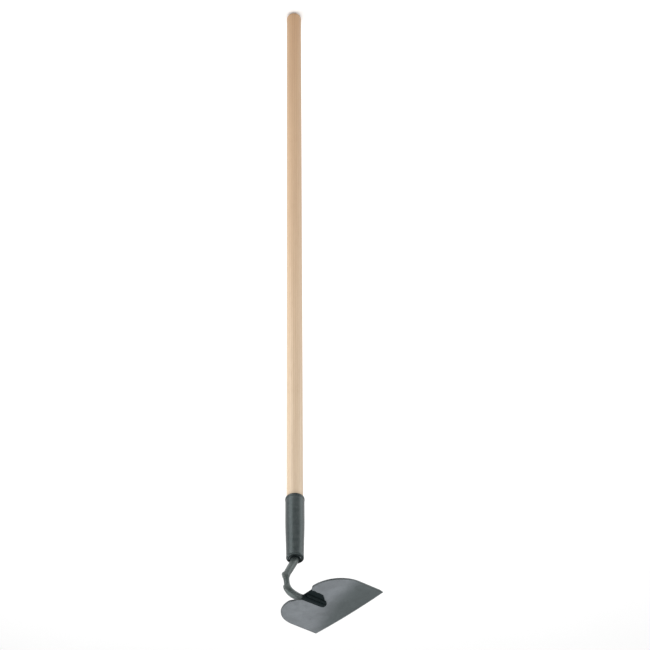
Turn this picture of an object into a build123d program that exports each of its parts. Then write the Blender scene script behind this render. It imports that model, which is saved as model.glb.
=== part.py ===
from build123d import *
import math
import os

os.makedirs("parts", exist_ok=True)

# Grub hoe standing on the end of its handle, head up. Millimetres.
# Origin: on the handle's axis, where the bare wood enters the ferrule. +Z runs up to the head,
# +Y is the way the blade reaches, and the hoe is the same on both sides of the YZ plane.

# Handle
HANDLE_D = 31.8
HANDLE_LENGTH = 1524.0
SOCKET_DEPTH = 126.0
SHOULDER_CUT = 0.2
END_ROUNDING = 10.0

# Ferrule
FERRULE_LENGTH = 147.0
FERRULE_D = 36.8
FERRULE_HEAD_D = 33.6
STRAIGHT_LENGTH = 72.0
TAPER_END = 134.0
HEAD_BORE_R = 14.4
END_HOLE_R = 11.0
HEAD_EDGE_R = 2.6
LIP_PROUD = 0.5

# Gooseneck
BAR_D = 11.2
ROOT_D = 15.2
CREST_D = 15.8
PLUG_FACE_Z = 146.2
KNUCKLE_R = 7.0
UPPER_KNUCKLE_OUT = 4.6
LOWER_KNUCKLE_OUT = 4.8
BEND_R = 10.0

# Blade
BLADE_WIDTH = 178.0
BLADE_DEPTH = 132.0
BLADE_THICKNESS = 3.0
BLADE_TILT = 10.7
BLADE_CROWN = 2.4
SIDE_LENGTH = 64.0
NOTCH_HALF = 22.6
NOTCH_DEPTH = 7.6
BEVEL_LENGTH = 9.0
EDGE_THICKNESS = 0.8
TOP_EDGE_Y = 15.5
TOP_EDGE_Z = FERRULE_LENGTH + 74.6

# Foot of the gooseneck on the blade, and its welds
FOOT_WIDTH = 10.4
FOOT_HEIGHT = 8.4
FOOT_LENGTH = 62.0
WELD_WIDTH = 5.6
WELD_HEIGHT = 5.6

# Screw that holds the handle in the ferrule
SCREW_Z = 40.0
SCREW_SHANK_D = 4.2
SCREW_LENGTH = 22.0
SCREW_HEAD_D = 8.4

tilt = math.radians(BLADE_TILT)
DOWN_BLADE = Vector(0, math.cos(tilt), -math.sin(tilt))
OFF_BLADE = Vector(0, math.sin(tilt), math.cos(tilt))
TOP_EDGE = Vector(0, TOP_EDGE_Y, TOP_EDGE_Z)
CROWN_FACE = TOP_EDGE + OFF_BLADE * (BLADE_THICKNESS / 2)


def profile_solid(points):
    """Solid of revolution about Z from (radius, z) points."""
    outline = Polyline(*[(r, 0, z) for r, z in points], close=True)
    return revolve(make_face(outline), Axis.Z)


def ferrule_radius(z):
    """Outer radius of the ferrule's plain body at height z."""
    if z <= STRAIGHT_LENGTH:
        return FERRULE_D / 2
    share = min(1.0, (z - STRAIGHT_LENGTH) / (TAPER_END - STRAIGHT_LENGTH))
    return FERRULE_D / 2 + share * (FERRULE_HEAD_D - FERRULE_D) / 2


def bore_radius(z):
    """Radius of the ferrule's bore at height z, which the wood fills."""
    full = HANDLE_D / 2 - SHOULDER_CUT
    if z <= STRAIGHT_LENGTH:
        return full
    share = min(1.0, (z - STRAIGHT_LENGTH) / (TAPER_END - STRAIGHT_LENGTH))
    return full + share * (HEAD_BORE_R - full)


def make_handle():
    """Round ash shaft with a rounded free end, cut down a little where it goes into the ferrule."""
    shaft = Pos(0, 0, SOCKET_DEPTH - HANDLE_LENGTH) * Cylinder(
        HANDLE_D / 2, HANDLE_LENGTH - SOCKET_DEPTH, align=(Align.CENTER, Align.CENTER, Align.MIN)
    )
    low_edge = shaft.edges().sort_by(Axis.Z)[0]
    shaft = fillet(low_edge, END_ROUNDING)
    tenon = profile_solid(
        [
            (0, 0),
            (bore_radius(0), 0),
            (bore_radius(0), STRAIGHT_LENGTH),
            (bore_radius(SOCKET_DEPTH - 2), SOCKET_DEPTH - 2),
            (bore_radius(SOCKET_DEPTH) - 2, SOCKET_DEPTH),
            (0, SOCKET_DEPTH),
        ]
    )
    return shaft + tenon


def make_ferrule():
    """Drawn steel sleeve: plain mouth, gentle taper, head end turned in round a hole."""
    outer = profile_solid(
        [
            (0, 0),
            (FERRULE_D / 2 - 0.4, 0),
            (FERRULE_D / 2 + LIP_PROUD - 0.2, 1.2),
            (FERRULE_D / 2 + LIP_PROUD, 3.0),
            (FERRULE_D / 2 + LIP_PROUD - 0.2, 4.8),
            (FERRULE_D / 2 - 0.3, 6.6),
            (FERRULE_D / 2, 9.0),
            (FERRULE_D / 2, STRAIGHT_LENGTH),
            (FERRULE_HEAD_D / 2, TAPER_END),
            (FERRULE_HEAD_D / 2, FERRULE_LENGTH),
            (0, FERRULE_LENGTH),
        ]
    )
    outer = fillet(outer.edges().sort_by(Axis.Z)[-1], HEAD_EDGE_R)
    bore = profile_solid(
        [
            (0, -1),
            (bore_radius(0), -1),
            (bore_radius(0), STRAIGHT_LENGTH),
            (HEAD_BORE_R, TAPER_END),
            (HEAD_BORE_R, FERRULE_LENGTH - 4.0),
            (END_HOLE_R, FERRULE_LENGTH - 2.0),
            (END_HOLE_R, FERRULE_LENGTH + 1),
            (0, FERRULE_LENGTH + 1),
        ]
    )
    return outer - bore


def make_end_plug():
    """Steel plug behind the turned-in end, with a low boss that fills the end hole round the bar."""
    plug = profile_solid(
        [
            (0, SOCKET_DEPTH),
            (bore_radius(SOCKET_DEPTH), SOCKET_DEPTH),
            (HEAD_BORE_R, TAPER_END),
            (HEAD_BORE_R, FERRULE_LENGTH - 4.0),
            (END_HOLE_R, FERRULE_LENGTH - 2.0),
            (END_HOLE_R, PLUG_FACE_Z),
            (0, PLUG_FACE_Z),
        ]
    )
    return plug


def foot_point(distance, height):
    """Point above the blade's centre line, measured from the top edge and off the outer face."""
    return CROWN_FACE + DOWN_BLADE * distance + OFF_BLADE * height


def tapered_bar(start, end, start_d, end_d):
    """Tapered round bar between two points, rounded over at its end."""
    along = end - start
    plane = Plane(origin=start, z_dir=along)
    low = (Align.CENTER, Align.CENTER, Align.MIN)
    if start_d == end_d:
        shank = plane * Cylinder(start_d / 2, along.length, align=low)
    else:
        shank = plane * Cone(start_d / 2, end_d / 2, along.length, align=low)
    return shank + Pos(end) * Sphere(end_d / 2)


def make_gooseneck():
    """Forged bar from the plug, out and back to the blade: thick at the root and over the crest,
    thin between its two knuckles, and flattened into a foot on the blade."""
    half_foot = FOOT_HEIGHT / 2
    root = Vector(0, 0, SOCKET_DEPTH + 4)
    leave = Vector(0, 0, FERRULE_LENGTH + 3.5)
    upper = Vector(0, -23.6, FERRULE_LENGTH + 51.8)
    lower = Vector(0, -20.0, FERRULE_LENGTH + 78.6)
    crest_in = Vector(0, -13.0, FERRULE_LENGTH + 85.0)
    crest_out = Vector(0, 1.0, FERRULE_LENGTH + 86.6)
    landing = foot_point(3.0, half_foot + 0.8)
    path = FilletPolyline(root, leave, upper, lower, crest_in, crest_out, landing, radius=BEND_R)
    bar = sweep(Plane(origin=root, z_dir=(0, 0, 1)) * Circle(BAR_D / 2), path=path)
    knuckle_d = KNUCKLE_R * 2
    bar = bar + tapered_bar(root, leave, ROOT_D, ROOT_D)
    bar = bar + tapered_bar(leave, upper, ROOT_D, knuckle_d)
    bar = bar + tapered_bar(lower, crest_in, knuckle_d, CREST_D)
    bar = bar + tapered_bar(crest_in, crest_out, CREST_D, CREST_D - 0.4)
    bar = bar + tapered_bar(crest_out, landing, CREST_D - 0.4, FOOT_WIDTH)
    upper_way = Vector(0, -1, 0.75).normalized()
    lower_way = Vector(0, -0.82, 0.57).normalized()
    bar = bar + Pos(upper + upper_way * UPPER_KNUCKLE_OUT) * Sphere(KNUCKLE_R)
    bar = bar + Pos(lower + lower_way * LOWER_KNUCKLE_OUT) * Sphere(KNUCKLE_R)
    base = Plane(origin=foot_point(1.0, 0), x_dir=(1, 0, 0), z_dir=DOWN_BLADE)
    side = FOOT_WIDTH / 2
    section = make_face(
        Polyline(
            (-side, 1.0),
            (side, 1.0),
            (side, -half_foot),
            (side * 0.62, -FOOT_HEIGHT * 0.86),
            (0, -FOOT_HEIGHT),
            (-side * 0.62, -FOOT_HEIGHT * 0.86),
            (-side, -half_foot),
            close=True,
        )
    )
    foot = extrude(base * section, FOOT_LENGTH - 1.0)
    return bar + foot


def blade_outline():
    """Blade seen square to its face: +X across, +Y up towards the top edge from the cutting edge."""
    half = BLADE_WIDTH / 2
    rise = BLADE_DEPTH
    shoulder = [
        (half, SIDE_LENGTH),
        (half - 1.1, rise * 0.56),
        (half - 4.6, rise * 0.69),
        (half - 13.0, rise * 0.823),
        (half - 29.0, rise * 0.934),
        (half - 46.0, rise * 0.99),
        (32.5, rise),
    ]
    notch = [
        (32.5, rise),
        (27.0, rise - 2.6),
        (NOTCH_HALF, rise - NOTCH_DEPTH + 1.2),
        (15.0, rise - NOTCH_DEPTH),
        (0, rise - NOTCH_DEPTH),
    ]
    side = Line((half, 0), (half, SIDE_LENGTH))
    corner = Spline(*shoulder, tangents=[(0, 1), (-1, 0)])
    dip = Spline(*notch, tangents=[(-1, 0), (-1, 0)])
    right = [side, corner, dip]
    left = [edge.mirror(Plane.YZ) for edge in right]
    bottom = Line((-half, 0), (half, 0))
    return make_face(right + left + [bottom])


def make_blade():
    """Wide plate, slightly crowned across its width, thinned to the cutting edge on its inner face."""
    edge_middle = TOP_EDGE + DOWN_BLADE * BLADE_DEPTH
    sheet = Plane(origin=edge_middle, x_dir=(1, 0, 0), z_dir=-OFF_BLADE)
    blank = extrude(sheet * blade_outline(), 20, both=True)
    crown_r = (BLADE_WIDTH / 2) ** 2 / (2 * BLADE_CROWN)
    outer_r = crown_r + BLADE_THICKNESS / 2
    centre = edge_middle - OFF_BLADE * crown_r - DOWN_BLADE * (BLADE_DEPTH / 2)
    roll = Plane(origin=centre, x_dir=(1, 0, 0), z_dir=DOWN_BLADE)
    drum = roll * Cylinder(outer_r, 400) - roll * Cylinder(outer_r - BLADE_THICKNESS, 420)
    plate = blank & drum
    lean = math.atan((BLADE_THICKNESS - EDGE_THICKNESS) / BEVEL_LENGTH)
    along = DOWN_BLADE * math.cos(lean) + OFF_BLADE * math.sin(lean)
    away = OFF_BLADE * math.cos(lean) - DOWN_BLADE * math.sin(lean)
    bevel_edge = edge_middle + OFF_BLADE * (BLADE_THICKNESS / 2 - EDGE_THICKNESS)
    stone_r = outer_r - EDGE_THICKNESS
    grind = Plane(origin=bevel_edge - away * stone_r, x_dir=(1, 0, 0), z_dir=along)
    stone = grind * Cylinder(stone_r, 120)
    return plate - stone


def weld_along(side, blade, gooseneck):
    """Fillet weld between one side of the foot and the blade, running out at both ends."""
    near = side * (FOOT_WIDTH / 2 - 0.6)
    stations = ((1.0, 0.45), (7.0, 1.0), (48.0, 1.0), (FOOT_LENGTH - 1.0, 0.5))
    faces = []
    for distance, size in stations:
        station = Plane(origin=foot_point(distance, 0), x_dir=(1, 0, 0), z_dir=DOWN_BLADE)
        outer_x = side * (FOOT_WIDTH / 2 + WELD_WIDTH * size)
        outline = Polyline((near, 0.5), (outer_x, 0.5), (near, -WELD_HEIGHT * size), close=True)
        faces.append(station * make_face(outline))
    bead = loft(faces, ruled=True)
    return bead - blade - gooseneck


def make_toe_weld(blade, gooseneck):
    """Short weld across the end of the foot."""
    start = foot_point(FOOT_LENGTH, 0)
    plane = Plane(origin=start, x_dir=DOWN_BLADE, z_dir=(1, 0, 0))
    outline = Polyline((-0.4, -0.5), (5.4, -0.5), (-0.4, 5.4), close=True)
    bead = extrude(plane * make_face(outline), FOOT_WIDTH / 2 - 0.4, both=True)
    return bead - blade - gooseneck


def make_neck_weld(gooseneck):
    """Ring weld between the bar and the plug's face."""
    ring = profile_solid(
        [
            (0, PLUG_FACE_Z),
            (ROOT_D / 2 + 2.4, PLUG_FACE_Z),
            (ROOT_D / 2 + 0.6, PLUG_FACE_Z + 3.0),
            (0, PLUG_FACE_Z + 3.0),
        ]
    )
    return ring - gooseneck


def make_screw():
    """Pan-head screw through the ferrule into the wood, on the blade's side."""
    surface = ferrule_radius(SCREW_Z) - 0.15
    head = Cylinder(SCREW_HEAD_D / 2, 2.4, align=(Align.CENTER, Align.CENTER, Align.MIN))
    head = fillet(head.edges().sort_by(Axis.Z)[-1], 1.3)
    slot = Pos(0, 0, 2.4) * Box(1.2, SCREW_HEAD_D + 1, 1.6)
    shank = Cylinder(
        SCREW_SHANK_D / 2, SCREW_LENGTH, align=(Align.CENTER, Align.CENTER, Align.MAX)
    )
    tip = Pos(0, 0, -SCREW_LENGTH) * Cone(
        0.5, SCREW_SHANK_D / 2, 3.5, align=(Align.CENTER, Align.CENTER, Align.MAX)
    )
    seat = Plane(origin=(0, surface, SCREW_Z), x_dir=(1, 0, 0), z_dir=(0, 1, 0))
    return seat * (head - slot + shank + tip)


def save(name, shape):
    export_step(shape, f"parts/{name}.step")


screw = make_screw()
gooseneck = make_gooseneck()
blade = make_blade()
gooseneck = gooseneck - blade
handle = make_handle() - screw
ferrule = make_ferrule() - screw
end_plug = make_end_plug() - gooseneck

save("handle", handle)
save("ferrule", ferrule)
save("ferrule_end_plug", end_plug)
save("handle_screw", screw)
save("gooseneck", gooseneck)
save("neck_weld", make_neck_weld(gooseneck))
save("blade", blade)
save("foot_weld_left", weld_along(1, blade, gooseneck))
save("foot_weld_right", weld_along(-1, blade, gooseneck))
save("foot_weld_toe", make_toe_weld(blade, gooseneck))
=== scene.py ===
import math

import bmesh
import bpy
from mathutils import Matrix, Vector, noise


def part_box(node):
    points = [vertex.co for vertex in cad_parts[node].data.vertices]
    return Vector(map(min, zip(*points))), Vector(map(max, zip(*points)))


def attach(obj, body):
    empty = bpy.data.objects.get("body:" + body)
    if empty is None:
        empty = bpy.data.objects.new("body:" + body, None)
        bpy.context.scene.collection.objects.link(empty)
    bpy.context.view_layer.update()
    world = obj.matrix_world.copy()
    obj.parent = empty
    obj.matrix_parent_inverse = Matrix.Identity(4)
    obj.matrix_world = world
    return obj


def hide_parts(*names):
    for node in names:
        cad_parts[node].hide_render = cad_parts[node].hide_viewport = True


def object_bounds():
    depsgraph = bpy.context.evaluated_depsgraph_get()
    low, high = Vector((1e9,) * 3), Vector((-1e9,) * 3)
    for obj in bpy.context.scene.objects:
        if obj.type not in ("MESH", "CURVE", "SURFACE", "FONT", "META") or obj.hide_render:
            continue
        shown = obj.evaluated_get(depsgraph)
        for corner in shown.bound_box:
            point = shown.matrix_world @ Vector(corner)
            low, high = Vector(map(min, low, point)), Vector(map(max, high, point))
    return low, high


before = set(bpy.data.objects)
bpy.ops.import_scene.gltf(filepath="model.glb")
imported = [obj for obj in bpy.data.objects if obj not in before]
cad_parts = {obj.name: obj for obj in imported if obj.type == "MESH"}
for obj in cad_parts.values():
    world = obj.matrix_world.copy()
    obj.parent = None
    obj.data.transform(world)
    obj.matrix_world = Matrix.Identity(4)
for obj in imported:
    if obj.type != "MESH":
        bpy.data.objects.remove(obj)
cad_low, cad_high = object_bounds()

# Grub hoe standing head up on the end of its handle. Metres, with MM to write sizes in millimetres.
MM = 0.001

# Places read from the frame; the blade is kept a hair inside its CAD width
handle_low, handle_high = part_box("handle")
ferrule_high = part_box("ferrule")[1]
HANDLE_R = handle_high.x
FERRULE_END = ferrule_high.z
PLUG_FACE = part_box("ferrule_end_plug")[1].z
BLADE_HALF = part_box("blade")[1].x - 0.02 * MM

# Handle: rounded free end, turned down by a small step where it enters the ferrule
END_ROUNDING = 10 * MM
SEAT_STEP = 0.3 * MM
HANDLE_STEPS = 120

# Ferrule: straight from its mouth, then tapering to a head end turned in round a hole
FERRULE_R = 18.4 * MM
FERRULE_HEAD_R = 16.8 * MM
FERRULE_WALL = 2.4 * MM
END_HOLE_R = 11 * MM
STRAIGHT_LENGTH = 72 * MM
TAPER_END = 134 * MM
HEAD_EDGE_R = 2.6 * MM
HOLE_EDGE_R = 0.8 * MM
LIP_START, LIP_STEP, LIP_STEPS = 0.4 * MM, 0.75 * MM, 12
LIP_LENGTH = 6.2 * MM
GROOVE_HEIGHT, GROOVE_WIDTH, GROOVE_DEPTH = 7.4 * MM, 1.1 * MM, 0.1 * MM
SLEEVE_STEPS = 60

# Blade: tilted plate, crowned across, with a dip at the top centre and round shoulders
BLADE_DEPTH = 131.9 * MM
BLADE_THICKNESS = 3 * MM
BLADE_TILT = math.radians(10.7)
BLADE_CROWN = 2.4 * MM
SHOULDER_HEIGHT = 67 * MM
SHOULDER_WIDTH = 56.5 * MM
NOTCH_HALF = 32.5 * MM
NOTCH_RUN = 14 * MM
NOTCH_DEPTH = 7.6 * MM
GRIND_LENGTH = 9 * MM
EDGE_THICKNESS = 0.8 * MM
NICK_DEPTH = 1.6 * MM
NICK_REACH = 2.5 * MM
BLADE_COLUMNS, BLADE_ROWS = 181, 96
DOWN_BLADE = Vector((0, math.cos(BLADE_TILT), -math.sin(BLADE_TILT)))
OFF_BLADE = Vector((0, math.sin(BLADE_TILT), math.cos(BLADE_TILT)))
TOP_EDGE = Vector((0, 15.5 * MM, FERRULE_END + 74.6 * MM))
CROWN_FACE = TOP_EDGE + OFF_BLADE * (BLADE_THICKNESS / 2)

# Painted shadow, painted shade and wear marks on the blade; each pair is where a fade starts and ends
RIM_FADE = 0.5 * MM, 2.2 * MM
EDGE_FADE = BLADE_DEPTH - 2.2 * MM, BLADE_DEPTH - 0.4 * MM
# Painted shadow beside the foot, reaching further to the right (-X) side than the left
SHADOW_RIGHT = -24.5 * MM, -20 * MM
SHADOW_LEFT = 8.5 * MM, 12 * MM
SHADOW_SLANT = 1.32
SHADOW_SLANT_TOE = 64.5 * MM, 70 * MM
SHADOW_TOE = 63.5 * MM, 68 * MM
SHADOW_INNER_SHARE = 0.45
# Painted shade towards the cutting edge, below a slanting and bowed line
SHADE_LINE_HEIGHT, SHADE_LINE_SLANT, SHADE_LINE_BOW = 83 * MM, 0.43, 2.02
SHADE_LINE_FADE = -26 * MM, 23 * MM

# Forged bar, station by station: (Y, Z above the ferrule's end, half width, half height, outward knuckle)
NECK_STATIONS = (
    (0.0, -6.0, 7.5, 7.5, 0.0),
    (0.0, 0.5, 7.5, 7.5, 0.0),
    (-2.0, 7.0, 7.5, 7.5, 0.0),
    (-7.6, 19.0, 7.4, 7.4, 0.0),
    (-14.6, 33.4, 7.2, 7.2, 0.0),
    (-20.9, 46.8, 7.0, 6.9, 0.5),
    (-23.1, 54.4, 6.7, 6.6, 4.4),
    (-22.9, 60.4, 5.8, 5.7, 0.9),
    (-22.1, 66.0, 5.5, 5.4, 0.0),
    (-21.0, 73.0, 5.8, 5.7, 0.6),
    (-19.4, 79.0, 6.8, 6.7, 5.0),
    (-14.8, 84.2, 7.7, 7.6, 0.6),
    (-7.6, 86.2, 7.8, 7.8, 0.0),
    (0.8, 86.4, 7.6, 7.6, 0.0),
    (8.8, 84.8, 7.0, 7.0, 0.0),
)
# Foot on the blade: (distance down the blade, half width, half height)
FOOT_STATIONS = ((1.0, 5.8, 5.2), (8.0, 5.5, 4.6), (22.0, 5.3, 4.2), (40.0, 5.2, 4.0), (54.0, 5.1, 3.8))
FOOT_LENGTH = 62 * MM
FOOT_HALF = 5.2 * MM
TOE_HALF_WIDTH, TOE_HALF_HEIGHT = 4.9 * MM, 3.3 * MM
ROUND, SQUARISH = 2.0, 3.3
# Tops of the two knuckles: (Y, Z above the ferrule's end)
KNUCKLES = ((-32.0, 55.5), (-29.0, 84.0))
KNUCKLE_WEAR = 3 * MM, 10 * MM
# Hammer marks as (fineness, depth), all sunk a little so that none stands out of the bar
DENTS = ((130, 0.22 * MM), (420, 0.06 * MM))
DENT_SINK = 0.14 * MM
BAR_SIDES = 48
STEPS_BETWEEN = 9

# Welds: leg and number of ripples of each kind
SIDE_WELD, SIDE_RIPPLES = 5.6 * MM, 15
TOE_WELD, TOE_RIPPLES = 5.0 * MM, 4
HEEL_GAP = 1.2 * MM
WELD_SINK = 0.1 * MM
BEAD_STEPS, BEAD_SIDES = 90, 10
BEAD_BULGE = 1.25
RING_WELD, RING_RIPPLES = 2.2 * MM, 9
RING_STEPS = 120
ROOT_R = 7.6 * MM

# Camera
AZIMUTH, ELEVATION, ROLL = -44.27, 43.26, -0.65
DISTANCE, LENS, SENSOR = 6.2, 169.7, 36
AIM_HEIGHT, AIM_RIGHT, AIM_UP = -0.5, 0.0617, -0.0317

# Studio: strength of the white room, reach of the floor, and softboxes as
# (name, direction from the target, distance, width, height, watts, target's height)
ROOM_STRENGTH = 0.45
FLOOR_REACH = 30.0
SOFTBOXES = (
    ("top", (0.15, 0.15, 1), 4.0, 5.0, 5.0, 175, -0.4),
    ("key", (0.80, -0.60, 0.15), 1.7, 0.8, 1.2, 14, 0.1),
    ("stripe", (0.133, -0.993, -0.80), 1.3, 0.8, 1.0, 5, 0.1),
    ("rim", (-0.804, 0.593, -0.70), 1.3, 0.7, 1.0, 3, 0.1),
    ("side", (-0.72, 0.70, 0.30), 1.9, 1.3, 1.7, 12, 0.1),
    ("front", (-0.35, -0.93, 0.25), 1.6, 0.8, 0.8, 5, 0.1),
    ("blade", (0.88, 0.45, 0.30), 2.2, 0.9, 0.9, 10, 0.1),
)

# Colours, as linear red, green and blue; a pair is the darker and the lighter of one finish
EARLY_WOOD = (0.66, 0.515, 0.36)
LATE_WOOD = (0.565, 0.415, 0.272)
PALE_STREAK = (0.69, 0.56, 0.41)
WARM_STREAK = (0.565, 0.42, 0.285)
FREE_END_TINT = (0.755, 0.585, 0.43)
WOOD_PORE = (0.36, 0.22, 0.12)
END_GRAIN = (0.50, 0.33, 0.20), (0.34, 0.21, 0.12)
END_PORE = (0.20, 0.12, 0.07)
WOOD_SOIL = (0.30, 0.21, 0.14)
DARK_FREE_END = (0.33, 0.21, 0.125)
FERRULE_LACQUER = (0.036, 0.048, 0.049), (0.053, 0.066, 0.066)
DRAWN_LINE = (0.080, 0.092, 0.092)
WORN_LIP = (0.30, 0.32, 0.32)
# Painted shade at the ferrule's mouth
MOUTH_SHADE = (0.008, 0.011, 0.011)
SCUFF = (0.17, 0.185, 0.185)
# Painted shade on the far half of the ferrule's head end
HEAD_END_SHADE = (0.005, 0.009, 0.009)
NECK_LACQUER = (0.058, 0.073, 0.071), (0.082, 0.097, 0.094)
HAMMERED = (0.115, 0.130, 0.127)
WORN_KNUCKLE = (0.17, 0.185, 0.18)
# Painted shade on the neck's crest
CREST_SHADE = (0.022, 0.028, 0.028)
# Near-black used for painted shade and painted shadow, and for weld scale on the foot
SHADE_AND_SCALE_BLACK = (0.004, 0.008, 0.009)
SATIN_STEEL = (0.172, 0.187, 0.200), (0.202, 0.220, 0.236)
ROLLED_LINE = (0.245, 0.262, 0.276)
STAIN = (0.13, 0.141, 0.145)
# Painted shade towards the blade's cutting edge
EDGE_SHADE_TINT = (0.46, 0.50, 0.48)
DARK_RIM = (0.045, 0.053, 0.054)
BRIGHT_EDGE = (0.50, 0.51, 0.51)
WELD_CRUST = (0.003, 0.006, 0.007), (0.011, 0.018, 0.019)
RUBBED_WELD = (0.05, 0.055, 0.055)
PLUG_LACQUER = (0.060, 0.072, 0.072), (0.14, 0.155, 0.155)
ZINC = (0.42, 0.43, 0.43), (0.26, 0.27, 0.27)
FLOOR_TONES = (0.93, 0.93, 0.93), (0.95, 0.95, 0.95)
COAT_ROUGHNESS = 0.25


def smooth(value, low=0.0, high=1.0):
    """0 below low, 1 above high, easing between."""
    share = min(1.0, max(0.0, (value - low) / (high - low)))
    return share * share * (3 - 2 * share)


def blade_point(across, distance, height=0.0):
    """Point over the blade: across its width, down from its top edge, off its crowned outer face."""
    drop = BLADE_CROWN * (across / BLADE_HALF) ** 2
    return CROWN_FACE + Vector((across, 0, 0)) + DOWN_BLADE * distance + OFF_BLADE * (height - drop)


# Where the bar meets the blade
HEEL_Y = blade_point(0, 2 * MM).y


# ---------------------------------------------------------------- materials

# Sockets of the colour form of the Mix node
MIX_SHARE, MIX_FIRST, MIX_SECOND, MIX_RESULT = 0, 6, 7, 2


class Shader:
    """A node material with short ways to add and link nodes. Coordinates are millimetres."""

    def __init__(self, name):
        self.material = bpy.data.materials.new(name)
        self.material.use_nodes = True
        self.tree = self.material.node_tree
        self.surface = self.tree.nodes["Principled BSDF"]
        place = self.add("ShaderNodeTexCoord")
        scaled = self.add("ShaderNodeMapping", {"Vector": place.outputs["Object"]})
        scaled.inputs["Scale"].default_value = (1 / MM, 1 / MM, 1 / MM)
        self.coords = scaled.outputs["Vector"]

    def add(self, kind, inputs=None, **settings):
        made = self.tree.nodes.new(kind)
        for key, value in settings.items():
            setattr(made, key, value)
        for key, value in (inputs or {}).items():
            self.put(made.inputs[key], value)
        return made

    def put(self, socket, value):
        if isinstance(value, bpy.types.NodeSocket):
            self.tree.links.new(value, socket)
        else:
            socket.default_value = value

    def stretched(self, x, y, z, move=(0, 0, 0)):
        inputs = {"Vector": self.coords, "Scale": (x, y, z), "Location": move}
        return self.add("ShaderNodeMapping", inputs).outputs["Vector"]

    def noise(self, scale, coords=None, detail=4.0, rough=0.55, distortion=0.0):
        inputs = {"Vector": coords or self.coords, "Scale": scale, "Detail": detail,
                  "Roughness": rough, "Distortion": distortion}
        return self.add("ShaderNodeTexNoise", inputs).outputs["Fac"]

    def calc(self, operation, first, second=0.5, third=0.5):
        made = self.add("ShaderNodeMath", operation=operation)
        for socket, value in zip(made.inputs, (first, second, third)):
            self.put(socket, value)
        return made.outputs[0]

    def fade(self, value, low, high, start=0.0, end=1.0):
        """Smooth change from start to end as value goes from low to high."""
        inputs = {"Value": value, "From Min": low, "From Max": high, "To Min": start, "To Max": end}
        return self.add("ShaderNodeMapRange", inputs, interpolation_type="SMOOTHSTEP").outputs["Result"]

    def mix(self, share, first, second, blend="MIX"):
        made = self.add("ShaderNodeMix", data_type="RGBA", blend_type=blend)
        self.put(made.inputs[MIX_SHARE], share)
        for index, color in ((MIX_FIRST, first), (MIX_SECOND, second)):
            self.put(made.inputs[index], color if isinstance(color, bpy.types.NodeSocket) else (*color, 1))
        return made.outputs[MIX_RESULT]

    def axis(self, name, coords=None):
        split = self.add("ShaderNodeSeparateXYZ", {"Vector": coords or self.coords})
        return split.outputs[name]

    def mask(self, name):
        return self.add("ShaderNodeAttribute", attribute_name=name).outputs["Fac"]

    def ragged_mask(self, name):
        """A stored mask with its soft border broken up."""
        broken = self.calc("MULTIPLY_ADD", self.noise(0.7, detail=5, rough=0.65), 1.0, -0.5)
        return self.fade(self.calc("ADD", self.mask(name), broken), 0.36, 0.60)

    def bump(self, height, depth, normal=None):
        """Relief of the given depth in millimetres."""
        made = self.add("ShaderNodeBump", {"Height": height, "Distance": depth * MM, "Strength": 1.0})
        if normal:
            self.put(made.inputs["Normal"], normal)
        return made.outputs["Normal"]

    def finish(self, color, rough, normal, metallic=0.0, coat=0.0, specular=0.5):
        """Connects the surface; a coat is clear lacquer of that weight."""
        self.put(self.surface.inputs["Base Color"], color)
        self.put(self.surface.inputs["Roughness"], rough)
        self.put(self.surface.inputs["Metallic"], metallic)
        self.put(self.surface.inputs["Normal"], normal)
        self.put(self.surface.inputs["Coat Weight"], coat)
        self.put(self.surface.inputs["Coat Roughness"], COAT_ROUGHNESS)
        self.put(self.surface.inputs["Specular IOR Level"], specular)
        return self.material


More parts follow.
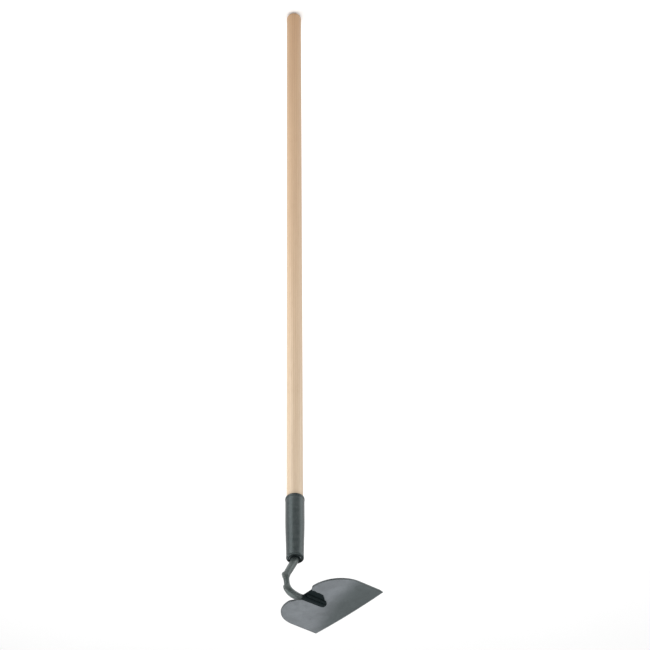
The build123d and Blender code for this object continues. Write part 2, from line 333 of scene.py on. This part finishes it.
def ash_wood():
    """Lacquered ash: growth rings cut along the shaft, open pores, and end grain on the free end."""
    s = Shader("ash_wood")
    height = s.axis("Z")
    free_end = handle_low.z / MM
    toward_free_end = s.calc("DIVIDE", height, free_end)
    warp = s.noise(0.5, s.stretched(0.12, 0.12, 0.004), detail=3)
    rings = s.add("ShaderNodeTexWave", {
        "Vector": s.stretched(1, 1, 0.012, move=(31, -12, 4)), "Scale": 0.085, "Distortion": 5.0,
        "Detail": 2.5, "Detail Scale": 0.35}, wave_type="RINGS", rings_direction="Z", wave_profile="SAW")
    late_wood = s.fade(rings.outputs["Fac"], 0.35, 1.0)
    streaks = s.noise(1.0, s.stretched(0.9, 0.9, 0.008), detail=5, rough=0.65)
    pores = s.fade(s.noise(1.0, s.stretched(3.2, 3.2, 0.035), detail=2), 0.56, 0.68)
    color = s.mix(late_wood, EARLY_WOOD, LATE_WOOD)
    color = s.mix(s.fade(streaks, 0.35, 0.75, 0.0, 0.6), color, PALE_STREAK)
    color = s.mix(s.fade(warp, 0.42, 0.62, 0.0, 0.35), color, WARM_STREAK)
    # Darker and browner towards the free end
    color = s.mix(toward_free_end, color, s.mix(1.0, color, FREE_END_TINT, "MULTIPLY"))
    color = s.mix(s.calc("MULTIPLY", pores, 0.35), color, WOOD_PORE)
    facing = s.add("ShaderNodeNewGeometry")
    end = s.fade(s.calc("ABSOLUTE", s.axis("Z", facing.outputs["Normal"])), 0.45, 0.8)
    end_pores = s.fade(s.noise(2.4, s.stretched(1, 1, 0.1), detail=2), 0.5, 0.62)
    end_color = s.mix(s.calc("MULTIPLY", end_pores, 0.5), s.mix(late_wood, *END_GRAIN), END_PORE)
    color = s.mix(end, color, end_color)
    above_mouth = s.calc("ADD", height, s.calc("MULTIPLY", streaks, 14.0))
    color = s.mix(s.fade(above_mouth, -6.0, 10.0, 0.0, 0.15), color, WOOD_SOIL)
    # Darker brown band near the free end
    near_end = s.calc("ADD", height, s.calc("MULTIPLY", streaks, 6.0))
    color = s.mix(s.fade(near_end, free_end + 5.0, free_end + 14.0, 0.5, 0.0), color, DARK_FREE_END)
    rough = s.calc("ADD", s.fade(streaks, 0.3, 0.8, 0.46, 0.58), s.calc("MULTIPLY", end, 0.2))
    relief = s.calc("SUBTRACT", s.calc("MULTIPLY", streaks, 0.4), pores)
    return s.finish(color, rough, s.bump(relief, 0.05), coat=0.18)


def far_half_shade(s):
    """1 on the far half of the ferrule's end, where black is painted as shade, 0 on the near half where the
    lacquer shows.
    """
    ragged = s.calc("MULTIPLY_ADD", s.noise(0.22, detail=5), 14.0, -7.0)
    across = s.calc("MULTIPLY_ADD", s.axis("X"), 0.7, s.calc("MULTIPLY_ADD", s.axis("Y"), 0.72, ragged))
    return s.fade(across, -1.0, 3.5)


def ferrule_steel():
    """Dark grey-green lacquer on drawn steel, with painted shade that darkens the mouth and paints the far
    half of the head end black.
    """
    s = Shader("ferrule_steel")
    height = s.axis("Z")
    drawn = s.noise(1.0, s.stretched(2.4, 2.4, 0.03), detail=4)
    patches = s.noise(0.11, detail=5, rough=0.6)
    specks = s.noise(1.3, detail=3)
    color = s.mix(s.fade(patches, 0.35, 0.68), *FERRULE_LACQUER)
    color = s.mix(s.fade(drawn, 0.45, 0.75, 0.0, 0.30), color, DRAWN_LINE)
    lip = s.calc("MULTIPLY", s.fade(height, 5.6, 2.6), s.fade(specks, 0.44, 0.60))
    color = s.mix(s.calc("MULTIPLY", lip, 0.12), color, WORN_LIP)
    # Painted shade: the lip at the mouth is darkened nearly to black
    from_mouth = s.calc("ADD", height, s.calc("MULTIPLY", specks, 1.6))
    color = s.mix(s.fade(from_mouth, 2.4, 5.2, 0.85, 0.0), color, MOUTH_SHADE)
    rubs = s.noise(0.5, s.stretched(1.2, 1.2, 0.25), detail=6, rough=0.7)
    color = s.mix(s.calc("MULTIPLY", s.fade(rubs, 0.60, 0.70), 0.35), color, SCUFF)
    head_end = FERRULE_END / MM
    # Painted shade: the far half of the head end is painted black
    ragged_height = s.calc("ADD", height, s.calc("MULTIPLY", patches, 5.0))
    scale = s.calc("MULTIPLY", s.fade(ragged_height, head_end - 6.0, head_end - 2.2), far_half_shade(s))
    color = s.mix(scale, color, HEAD_END_SHADE)
    rough = s.calc("ADD", s.fade(patches, 0.3, 0.7, 0.30, 0.40), s.calc("MULTIPLY", scale, 0.3))
    metallic = s.fade(scale, 0.0, 1.0, 0.65, 0.1)
    grit = s.calc("MULTIPLY", specks, s.fade(scale, 0, 1, 0.2, 1.6))
    relief = s.calc("ADD", s.calc("MULTIPLY", drawn, 0.5), grit)
    specular = s.fade(scale, 0.0, 1.0, 0.5, 0.15)
    return s.finish(color, rough, s.bump(relief, 0.05), metallic, specular=specular)


def neck_steel():
    """Lacquered forged bar: hammer marks, dark scale left in the hollows, worn on the high spots, painted
    shade on the crest beside the foot, and the foot near-black, partly painted shade and partly weld scale.
    """
    s = Shader("neck_steel")
    hammered = s.noise(0.16, detail=2)
    scale = s.noise(0.45, detail=6, rough=0.65)
    fine = s.noise(2.2, detail=3)
    color = s.mix(s.fade(scale, 0.38, 0.62), *NECK_LACQUER)
    color = s.mix(s.fade(hammered, 0.50, 0.70, 0.0, 0.4), color, HAMMERED)
    color = s.mix(s.calc("MULTIPLY", s.mask("worn"), 0.45), color, WORN_KNUCKLE)
    # Painted shade on the crest beside the foot
    color = s.mix(s.calc("MULTIPLY", s.mask("crest_shade"), 0.55), color, CREST_SHADE)
    # The foot in near-black: partly painted shade, partly weld scale
    shadow_and_scale = s.ragged_mask("shadow_and_scale")
    color = s.mix(shadow_and_scale, color, SHADE_AND_SCALE_BLACK)
    rough = s.calc("ADD", s.fade(scale, 0.3, 0.7, 0.42, 0.34), s.calc("MULTIPLY", shadow_and_scale, 0.22))
    metallic = s.fade(shadow_and_scale, 0.0, 1.0, 0.6, 0.15)
    normal = s.bump(fine, 0.04, s.bump(scale, 0.10))
    return s.finish(color, rough, normal, metallic, specular=s.fade(shadow_and_scale, 0.0, 1.0, 0.5, 0.06))


def blade_steel():
    """Satin steel: rolling lines, a painted shadow beside the foot, and painted shade darker below a
    slanting line towards the cutting edge.
    """
    s = Shader("blade_steel")
    rolled = s.noise(1.0, s.stretched(0.05, 1.6, 1.6), detail=5, rough=0.6)
    clouds = s.noise(0.022, detail=4, distortion=0.6)
    stains = s.noise(0.09, detail=6, rough=0.65)
    specks = s.noise(0.9, detail=3)
    color = s.mix(s.fade(clouds, 0.35, 0.65), *SATIN_STEEL)
    color = s.mix(s.fade(rolled, 0.40, 0.75, 0.0, 0.30), color, ROLLED_LINE)
    color = s.mix(s.fade(stains, 0.55, 0.75, 0.0, 0.35), color, STAIN)
    # Painted shade: darker towards the cutting edge
    color = s.mix(s.mask("edge_shade"), color, s.mix(1.0, color, EDGE_SHADE_TINT, "MULTIPLY"))
    rim = s.calc("MULTIPLY", s.mask("rim"), s.fade(specks, 0.30, 0.55, 0.6, 1.0))
    color = s.mix(s.calc("MULTIPLY", rim, 0.75), color, DARK_RIM)
    worn = s.calc("MULTIPLY", s.mask("edge"), s.fade(specks, 0.50, 0.60))
    color = s.mix(worn, color, BRIGHT_EDGE)
    # Painted shadow beside the foot, in near-black
    shadow_and_scale = s.ragged_mask("shadow_and_scale")
    color = s.mix(shadow_and_scale, color, SHADE_AND_SCALE_BLACK)
    rough = s.calc("ADD", s.fade(stains, 0.3, 0.7, 0.36, 0.46), s.calc("MULTIPLY", shadow_and_scale, 0.25))
    metallic = s.fade(shadow_and_scale, 0.0, 1.0, 0.8, 0.1)
    relief = s.calc("ADD", s.calc("MULTIPLY", rolled, 0.35), s.calc("MULTIPLY", stains, 0.65))
    specular = s.fade(shadow_and_scale, 0.0, 1.0, 0.5, 0.06)
    return s.finish(color, rough, s.bump(relief, 0.06), metallic, specular=specular)


def scaled_steel():
    """Weld metal under black scale, with a few spots rubbed to dull steel."""
    s = Shader("scaled_steel")
    crust = s.noise(0.8, detail=6, rough=0.7)
    spots = s.noise(0.35, detail=3)
    color = s.mix(s.fade(crust, 0.40, 0.66), *WELD_CRUST)
    color = s.mix(s.fade(spots, 0.62, 0.72, 0.0, 0.5), color, RUBBED_WELD)
    rough = s.fade(crust, 0.3, 0.7, 0.72, 0.5)
    metallic = s.fade(spots, 0.6, 0.72, 0.1, 0.6)
    return s.finish(color, rough, s.bump(crust, 0.22), metallic, specular=0.08)


def plug_steel():
    """Face of the end plug: lacquered on the near half, with painted shade in black on the far half."""
    s = Shader("plug_steel")
    crust = s.noise(0.6, detail=6, rough=0.7)
    lumps = s.noise(0.28, detail=2)
    # Painted shade: the far half of the plug's face is painted black
    scale = far_half_shade(s)
    color = s.mix(scale, s.mix(s.fade(crust, 0.35, 0.7), *PLUG_LACQUER), SHADE_AND_SCALE_BLACK)
    rough = s.calc("ADD", s.fade(crust, 0.3, 0.7, 0.30, 0.42), s.calc("MULTIPLY", scale, 0.3))
    normal = s.bump(crust, 0.12, s.bump(lumps, 0.8))
    metallic = s.fade(scale, 0.0, 1.0, 0.65, 0.1)
    return s.finish(color, rough, normal, metallic, specular=s.fade(scale, 0, 1, 0.5, 0.15))


def screw_steel():
    """Zinc-plated steel with turned lines and a dull bloom."""
    s = Shader("screw_steel")
    bloom = s.noise(0.8, detail=5)
    turned_lines = s.noise(1.0, s.stretched(6, 0.4, 6), detail=3)
    color = s.mix(s.fade(bloom, 0.35, 0.7), *ZINC)
    return s.finish(color, s.fade(bloom, 0.3, 0.7, 0.28, 0.5), s.bump(turned_lines, 0.03), 0.95)


def floor_paint():
    """Plain pale floor."""
    s = Shader("floor_paint")
    tone = s.mix(s.noise(0.004, detail=2), *FLOOR_TONES)
    return s.finish(tone, 0.9, s.bump(s.noise(0.2), 0.02), specular=0.1)


# ---------------------------------------------------------------- mesh tools


def add_mesh(name, points, faces, material):
    mesh = bpy.data.meshes.new(name)
    mesh.from_pydata([tuple(p) for p in points], [], faces)
    made = bmesh.new()
    made.from_mesh(mesh)
    bmesh.ops.remove_doubles(made, verts=made.verts, dist=0.001 * MM)
    bmesh.ops.recalc_face_normals(made, faces=made.faces)
    made.to_mesh(mesh)
    made.free()
    mesh.materials.append(material)
    for face in mesh.polygons:
        face.use_smooth = True
    piece = bpy.data.objects.new(name, mesh)
    bpy.context.scene.collection.objects.link(piece)
    return piece


def place(piece, slot, *nodes):
    """The piece rides on the hoe's one body and stands for the CAD nodes given."""
    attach(piece, "root")
    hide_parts(*nodes)


def grid_faces(rows, columns, wrap=False, close=False):
    """Quads between rows of points; wrap joins each row's ends, close joins the last row to the first."""
    faces = []
    count = rows * columns
    for row in range(rows if close else rows - 1):
        for column in range(columns if wrap else columns - 1):
            a = row * columns + column
            b = row * columns + (column + 1) % columns
            faces.append((a, b, (b + columns) % count, (a + columns) % count))
    return faces


def end_caps(rows, columns):
    """Flat faces that close a tube of that many rows at both ends."""
    last = (rows - 1) * columns
    return [tuple(range(columns - 1, -1, -1)), tuple(range(last, last + columns))]


def store(piece, name, measure):
    """Keeps a 0 to 1 value for every vertex, for the material to read."""
    values = piece.data.attributes.new(name, "FLOAT", "POINT")
    for index, vertex in enumerate(piece.data.vertices):
        values.data[index].value = measure(vertex.co)


def arc(centre_r, centre_z, radius, start, end, steps):
    """(radius, z) points of a rounded corner, from start to end degrees."""
    points = []
    for step in range(steps + 1):
        angle = math.radians(start + (end - start) * step / steps)
        points.append((centre_r + radius * math.cos(angle), centre_z + radius * math.sin(angle)))
    return points


def turned(name, profile, material, segments=128):
    """Piece turned about the Z axis from (radius, z) points; the profile may close on itself."""
    points = []
    for radius, z in profile:
        for step in range(segments):
            angle = 2 * math.pi * step / segments
            points.append(Vector((math.cos(angle), math.sin(angle), 0)) * radius + Vector((0, 0, z)))
    return add_mesh(name, points, grid_faces(len(profile), segments, wrap=True), material)


def between(before, start, end, after, share):
    """Catmull-Rom value between start and end."""
    square = share * share
    cube = square * share
    return 0.5 * (start * 2 + (end - before) * share + (before * 2 - start * 5 + end * 4 - after) * square
                  + (start * 3 - before - end * 3 + after) * cube)


def smooth_line(stations):
    """The stations with curved steps added between each pair."""
    filled = []
    last = len(stations) - 1
    for index in range(last):
        around = [stations[min(last, max(0, index + offset))] for offset in (-1, 0, 1, 2)]
        for step in range(STEPS_BETWEEN):
            share = step / STEPS_BETWEEN
            filled.append(tuple(between(*values, share) for values in zip(*around)))
    filled.append(stations[-1])
    return filled


# ---------------------------------------------------------------- handle and ferrule


def make_handle(material):
    """Turned ash shaft with a rounded end, running on into the ferrule."""
    low = handle_low.z
    centre_r = HANDLE_R - END_ROUNDING
    profile = [(0, low), (centre_r * 0.5, low)]
    profile += arc(centre_r, low + END_ROUNDING, END_ROUNDING, -90, 0, 16)
    length = handle_high.z - low
    for step in range(1, HANDLE_STEPS):
        z = low + END_ROUNDING + (length - END_ROUNDING) * step / HANDLE_STEPS
        if z < -1 * MM:
            profile.append((HANDLE_R, z))
    seat_r = HANDLE_R - SEAT_STEP
    profile += [(HANDLE_R, -0.6 * MM), (seat_r, 0), (seat_r, STRAIGHT_LENGTH)]
    profile += [(FERRULE_HEAD_R - FERRULE_WALL, handle_high.z), (0, handle_high.z)]
    piece = turned("ash_shaft", profile, material)
    place(piece, "ash_wood", "handle")


def ferrule_radius(z):
    taper = smooth(z, STRAIGHT_LENGTH - 18 * MM, TAPER_END + 6 * MM)
    return FERRULE_R + (FERRULE_HEAD_R - FERRULE_R) * taper


def make_ferrule(material):
    """Drawn sleeve with a rolled lip at the mouth and its head end turned in round a hole."""
    lip = ferrule_high.x - FERRULE_R
    profile = [(HANDLE_R, 0.2 * MM), (FERRULE_R - 0.6 * MM, 0)]
    for step in range(LIP_STEPS + 1):
        z = LIP_START + step * LIP_STEP
        swell = lip * math.sin(math.pi * min(1.0, z / LIP_LENGTH))
        groove = GROOVE_DEPTH * math.exp(-((z - GROOVE_HEIGHT) / GROOVE_WIDTH) ** 2)
        profile.append((FERRULE_R + (swell - groove), z))
    lip_end = LIP_START + LIP_STEPS * LIP_STEP
    top = FERRULE_END - HEAD_EDGE_R
    for step in range(1, SLEEVE_STEPS + 1):
        z = lip_end + (top - lip_end) * step / SLEEVE_STEPS
        profile.append((ferrule_radius(z), z))
    profile += arc(FERRULE_HEAD_R - HEAD_EDGE_R, top, HEAD_EDGE_R, 0, 90, 10)[1:]
    profile += arc(END_HOLE_R + HOLE_EDGE_R, FERRULE_END - HOLE_EDGE_R, HOLE_EDGE_R, 90, 180, 4)
    inner = FERRULE_HEAD_R - FERRULE_WALL
    bore = HANDLE_R - 0.1 * MM
    profile += [(END_HOLE_R, FERRULE_END - 2.2 * MM), (inner, FERRULE_END - 4 * MM), (inner, TAPER_END)]
    profile += [(bore, STRAIGHT_LENGTH), (bore, 0.9 * MM), (HANDLE_R, 0.2 * MM)]
    piece = turned("drawn_ferrule", profile, material)
    place(piece, "ferrule_steel", "ferrule")


# ---------------------------------------------------------------- neck


def neck_line():
    """Stations of the whole bar: (centre, half width, half height, knuckle, squareness)."""
    line = []
    for y, z, width, height, knuckle in NECK_STATIONS:
        centre = Vector((0, y * MM, FERRULE_END + z * MM))
        line.append((centre, width * MM, height * MM, knuckle * MM, ROUND))
    for distance, width, height in FOOT_STATIONS:
        centre = blade_point(0, distance * MM, height * MM)
        squareness = ROUND + (SQUARISH - ROUND) * smooth(distance, 0, 20)
        line.append((centre, width * MM, height * MM, 0.0, squareness))
    toe = blade_point(0, FOOT_LENGTH, TOE_HALF_HEIGHT)
    line.append((toe, TOE_HALF_WIDTH, TOE_HALF_HEIGHT, 0.0, SQUARISH))
    return line


def make_gooseneck(material):
    """Forged bar in one piece: root, two knuckles with a thinner length between, crest and foot."""
    line = smooth_line(neck_line())
    points = []
    for index, (centre, width, height, knuckle, squareness) in enumerate(line):
        ahead = line[min(index + 1, len(line) - 1)][0] - line[max(index - 1, 0)][0]
        ahead.normalize()
        outward = Vector((0, -ahead.z, ahead.y))
        for side in range(BAR_SIDES):
            angle = 2 * math.pi * side / BAR_SIDES
            across, off = math.cos(angle), math.sin(angle)
            reach = (abs(across) ** squareness + abs(off) ** squareness) ** (-1 / squareness)
            bulge = max(0.0, knuckle) * max(0.0, off) ** 1.6
            lift = reach * height + bulge
            spot = centre + Vector((across * reach * width, 0, 0)) + outward * (off * lift)
            outer = (spot - centre).normalized()
            dent = sum(depth * noise.noise(spot * scale) for scale, depth in DENTS)
            points.append(spot + outer * (dent - DENT_SINK))
    faces = grid_faces(len(line), BAR_SIDES, wrap=True) + end_caps(len(line), BAR_SIDES)
    piece = add_mesh("forged_gooseneck", points, faces, material)
    store(piece, "shadow_and_scale", foot_shade_and_scale_mask)
    store(piece, "crest_shade", crest_shade_mask)
    store(piece, "worn", worn_mask)
    place(piece, "neck_steel", "gooseneck")


def foot_shade_and_scale_mask(spot):
    """1 on the foot, painted near-black: partly painted shade, partly weld scale."""
    ragged = 2.5 * MM * noise.noise(spot * 160)
    return smooth(spot.y + ragged, HEEL_Y - 12 * MM, HEEL_Y + 2 * MM)


def crest_shade_mask(spot):
    """1 on the crest beside the foot, where shade is painted on, fading out towards the upper knuckle."""
    near_foot = smooth(spot.y, HEEL_Y - 42 * MM, HEEL_Y - 14 * MM)
    on_crest = smooth(spot.z, FERRULE_END + 74 * MM, FERRULE_END + 80 * MM)
    return near_foot * on_crest


def worn_mask(spot):
    """1 on the two knuckles, which rub first."""
    share = 0.0
    for y, z in KNUCKLES:
        away = (spot - Vector((0, y * MM, FERRULE_END + z * MM))).length
        share = max(share, 1 - smooth(away, *KNUCKLE_WEAR))
    return share


# ---------------------------------------------------------------- blade


def top_edge_distance(across):
    """How far below the blade's highest line its top outline lies: a dip in the middle, round shoulders."""
    out = abs(across)
    if out > NOTCH_HALF:
        share = min(1.0, (out - NOTCH_HALF) / SHOULDER_WIDTH)
        return SHOULDER_HEIGHT * (1 - math.sqrt(1 - share * share))
    return NOTCH_DEPTH * smooth(NOTCH_HALF - out, 0, NOTCH_RUN)


def ground_thickness(from_edge):
    """Thickness of the blade at a distance up from its cutting edge."""
    share = min(1.0, from_edge / GRIND_LENGTH)
    return EDGE_THICKNESS + (BLADE_THICKNESS - EDGE_THICKNESS) * share


def blade_sheet(inner):
    """Points of one face of the blade, row by row from the top, closest together near its outline."""
    points = []
    for row in range(BLADE_ROWS):
        down = math.sin(math.pi / 2 * row / (BLADE_ROWS - 1))
        for column in range(BLADE_COLUMNS):
            across = BLADE_HALF * math.sin(math.pi / 2 * (2 * column / (BLADE_COLUMNS - 1) - 1))
            top = top_edge_distance(across)
            distance = top + (BLADE_DEPTH - top) * down
            height = -ground_thickness(BLADE_DEPTH - distance) if inner else 0.0
            nick = max(0.0, noise.noise(Vector((across * 260, 3.1, 0))) - 0.25) * NICK_DEPTH
            distance -= nick * smooth(distance, BLADE_DEPTH - NICK_REACH, BLADE_DEPTH)
            points.append(blade_point(across, distance, height))
    return points


def make_blade(material):
    """Crowned plate between its two faces, ground thin on the inner face and nicked along the edge."""
    columns, rows = BLADE_COLUMNS, BLADE_ROWS
    size = rows * columns
    sheet = grid_faces(rows, columns)
    faces = sheet + [tuple(size + index for index in reversed(face)) for face in sheet]
    rim = list(range(columns))
    rim += [row * columns + columns - 1 for row in range(1, rows)]
    rim += [(rows - 1) * columns + column for column in range(columns - 2, -1, -1)]
    rim += [row * columns for row in range(rows - 2, 0, -1)]
    for corner, after in zip(rim, rim[1:] + rim[:1]):
        faces.append((after, corner, corner + size, after + size))
    points = blade_sheet(inner=False) + blade_sheet(inner=True)
    piece = add_mesh("hoe_blade", points, faces, material)
    rounding = piece.modifiers.new("rounding", "BEVEL")
    rounding.width = 0.32 * MM
    rounding.segments = 2
    rounding.limit_method = "ANGLE"
    rounding.angle_limit = math.radians(50)
    piece.modifiers.new("normals", "WEIGHTED_NORMAL").keep_sharp = True
    store(piece, "rim", rim_mask)
    store(piece, "edge", edge_mask)
    store(piece, "shadow_and_scale", foot_shadow_mask)
    store(piece, "edge_shade", edge_shade_mask)
    place(piece, "blade_steel", "blade")


def blade_coords(spot):
    """(across, distance down from the top edge) of a point on the blade."""
    return spot.x, (spot - CROWN_FACE).dot(DOWN_BLADE)


def rim_mask(spot):
    """1 at the blade's outline, fading out over a few millimetres."""
    across, distance = blade_coords(spot)
    side = BLADE_HALF - abs(across)
    top = distance - top_edge_distance(across)
    slope = 0.02 * max(0.0, abs(across) / MM - 40)
    return 1 - smooth(min(side, top / math.sqrt(1 + slope ** 2)), *RIM_FADE)


def edge_mask(spot):
    """1 along the cutting edge."""
    return smooth(blade_coords(spot)[1], *EDGE_FADE)


def foot_shadow_mask(spot):
    """Painted shadow of the foot and neck on the blade: uneven about the foot, and weaker on the inner face.
    """
    across, distance = blade_coords(spot)
    ragged = 1.6 * MM * noise.noise(spot * 150)
    right = smooth(across + ragged, *SHADOW_RIGHT)
    left = 1 - smooth(across + ragged, *SHADOW_LEFT)
    slant_toe = 1 - smooth(distance - across * SHADOW_SLANT + ragged, *SHADOW_SLANT_TOE)
    toe = 1 - smooth(distance + ragged, *SHADOW_TOE)
    height = (spot - CROWN_FACE).dot(OFF_BLADE) + BLADE_CROWN * (across / BLADE_HALF) ** 2
    inner_face = smooth(-height, 0.4 * BLADE_THICKNESS, 0.6 * BLADE_THICKNESS)
    return right * left * slant_toe * toe * (1 - (1 - SHADOW_INNER_SHARE) * inner_face)


def edge_shade_mask(spot):
    """1 toward the cutting edge, painted shade that darkens the steel below a slanting line."""
    across, distance = blade_coords(spot)
    line = SHADE_LINE_HEIGHT + SHADE_LINE_SLANT * across + SHADE_LINE_BOW * across * across
    ragged = 3 * MM * noise.noise(spot * 30)
    return smooth(distance - line + ragged, *SHADE_LINE_FADE)


# ---------------------------------------------------------------- welds


def bead(name, start, end, face_a, face_b, size, material, ripples):
    """Fillet weld from start to end, between the direction up one wall and the direction along the other."""
    points = []
    for step in range(BEAD_STEPS + 1):
        share = step / BEAD_STEPS
        centre = start.lerp(end, share)
        taper = 0.35 + 0.65 * math.sqrt(smooth(min(share, 1 - share) * 2, 0, 0.16))
        ripple = abs(math.sin(math.pi * share * ripples)) ** 0.5
        wander = noise.noise(centre * 220)
        grow = size * taper * (0.78 + 0.20 * ripple + 0.10 * wander)
        for side in range(BEAD_SIDES):
            angle = math.pi / 2 * side / (BEAD_SIDES - 1)
            reach = grow * (0.80 + 0.10 * math.sin(2 * angle)) / 0.9
            points.append(centre + face_a * reach * math.cos(angle) ** BEAD_BULGE
                          + face_b * reach * math.sin(angle) ** BEAD_BULGE)
        points.append(centre - (face_a + face_b) * size * 0.2)
    rows, columns = BEAD_STEPS + 1, BEAD_SIDES + 1
    faces = grid_faces(rows, columns, wrap=True) + end_caps(rows, columns)
    return add_mesh(name, points, faces, material)


def make_foot_welds(material):
    """Rippled welds down both sides of the foot and across its toe."""
    across = Vector((1, 0, 0))
    for side, node in ((1, "foot_weld_left"), (-1, "foot_weld_right")):
        edge = side * (FOOT_HALF - 0.5 * MM)
        start = blade_point(edge, NOTCH_DEPTH + HEEL_GAP, -WELD_SINK)
        end = blade_point(edge, FOOT_LENGTH - 0.5 * MM, -WELD_SINK)
        piece = bead(f"{node}_bead", start, end, across * side, OFF_BLADE, SIDE_WELD, material, SIDE_RIPPLES)
        place(piece, "scaled_steel", node)
    toe_half, toe = FOOT_HALF - 0.6 * MM, FOOT_LENGTH - 0.6 * MM
    start = blade_point(-toe_half, toe, -WELD_SINK)
    end = blade_point(toe_half, toe, -WELD_SINK)
    piece = bead("foot_weld_toe_bead", start, end, DOWN_BLADE, OFF_BLADE, TOE_WELD, material, TOE_RIPPLES)
    place(piece, "scaled_steel", "foot_weld_toe")


def make_neck_weld(material):
    """Rippled ring weld where the bar leaves the plug."""
    points = []
    for step in range(RING_STEPS):
        angle = 2 * math.pi * step / RING_STEPS
        out = Vector((math.cos(angle), math.sin(angle), 0))
        grow = RING_WELD * (0.86 + 0.14 * abs(math.sin(angle * RING_RIPPLES)) ** 0.6)
        centre = out * (ROOT_R - 0.2 * MM) + Vector((0, 0, PLUG_FACE))
        for side in range(BEAD_SIDES):
            turn = math.pi / 2 * side / (BEAD_SIDES - 1)
            points.append(centre + out * grow * math.cos(turn) + Vector((0, 0, grow * math.sin(turn))))
        points.append(out * (ROOT_R - 1.0 * MM) + Vector((0, 0, PLUG_FACE - 0.4 * MM)))
    faces = grid_faces(RING_STEPS, BEAD_SIDES + 1, wrap=True, close=True)
    piece = add_mesh("neck_weld_bead", points, faces, material)
    place(piece, "scaled_steel", "neck_weld")


# ---------------------------------------------------------------- stage


def make_floor(material):
    low, reach = cad_low.z, FLOOR_REACH
    corners = [(-reach, -reach, low), (reach, -reach, low), (reach, reach, low), (-reach, reach, low)]
    floor = add_mesh("floor", corners, [(0, 1, 2, 3)], material)


def soft_light(name, towards, distance, width, height, power, target_height):
    """Softbox hung in a direction from the hoe, turned to it, and not seen itself."""
    lamp = bpy.data.lights.new(name, "AREA")
    lamp.shape = "RECTANGLE"
    lamp.size, lamp.size_y = width, height
    lamp.energy = power
    holder = bpy.data.objects.new(name, lamp)
    bpy.context.scene.collection.objects.link(holder)
    aim = Vector((0, 0, target_height))
    holder.location = aim + Vector(towards).normalized() * distance
    holder.rotation_euler = (holder.location - aim).to_track_quat("Z", "Y").to_euler()
    holder.visible_camera = False


def make_lights():
    """White room and softboxes: a big one above and smaller ones round the head."""
    world = bpy.data.worlds.new("studio")
    bpy.context.scene.world = world
    world.use_nodes = True
    room = world.node_tree.nodes["Background"]
    room.inputs["Color"].default_value = (1, 1, 1, 1)
    room.inputs["Strength"].default_value = ROOM_STRENGTH
    for softbox in SOFTBOXES:
        soft_light(*softbox)
    bpy.context.scene.view_settings.view_transform = "Standard"


def make_camera():
    """Camera at the viewing angle, rolled so that the handle runs up the picture."""
    azimuth, elevation, roll = (math.radians(v) for v in (AZIMUTH, ELEVATION, ROLL))
    back = Vector((math.sin(azimuth) * math.cos(elevation),
                   -math.cos(azimuth) * math.cos(elevation),
                   math.sin(elevation)))
    level = Vector((-math.cos(azimuth), -math.sin(azimuth), 0))
    rise = back.cross(level)
    right = level * math.cos(roll) + rise * math.sin(roll)
    up = rise * math.cos(roll) - level * math.sin(roll)
    aim = Vector((0, 0, AIM_HEIGHT)) + right * AIM_RIGHT + up * AIM_UP
    cam = bpy.data.objects.new("camera", bpy.data.cameras.new("camera"))
    bpy.context.scene.collection.objects.link(cam)
    turn = Matrix((right, up, back)).transposed().to_4x4()
    cam.matrix_world = Matrix.Translation(aim + back * DISTANCE) @ turn
    cam.data.lens = LENS
    cam.data.sensor_width = SENSOR
    cam.data.clip_end = 100
    bpy.context.scene.camera = cam


make_camera()
make_lights()
make_floor(floor_paint())

scale_finish = scaled_steel()
make_handle(ash_wood())
make_ferrule(ferrule_steel())
make_gooseneck(neck_steel())
make_blade(blade_steel())
make_foot_welds(scale_finish)
make_neck_weld(scale_finish)
for node, material in (("ferrule_end_plug", plug_steel()), ("handle_screw", screw_steel())):
    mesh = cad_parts[node].data
    mesh.materials.clear()
    mesh.materials.append(material)
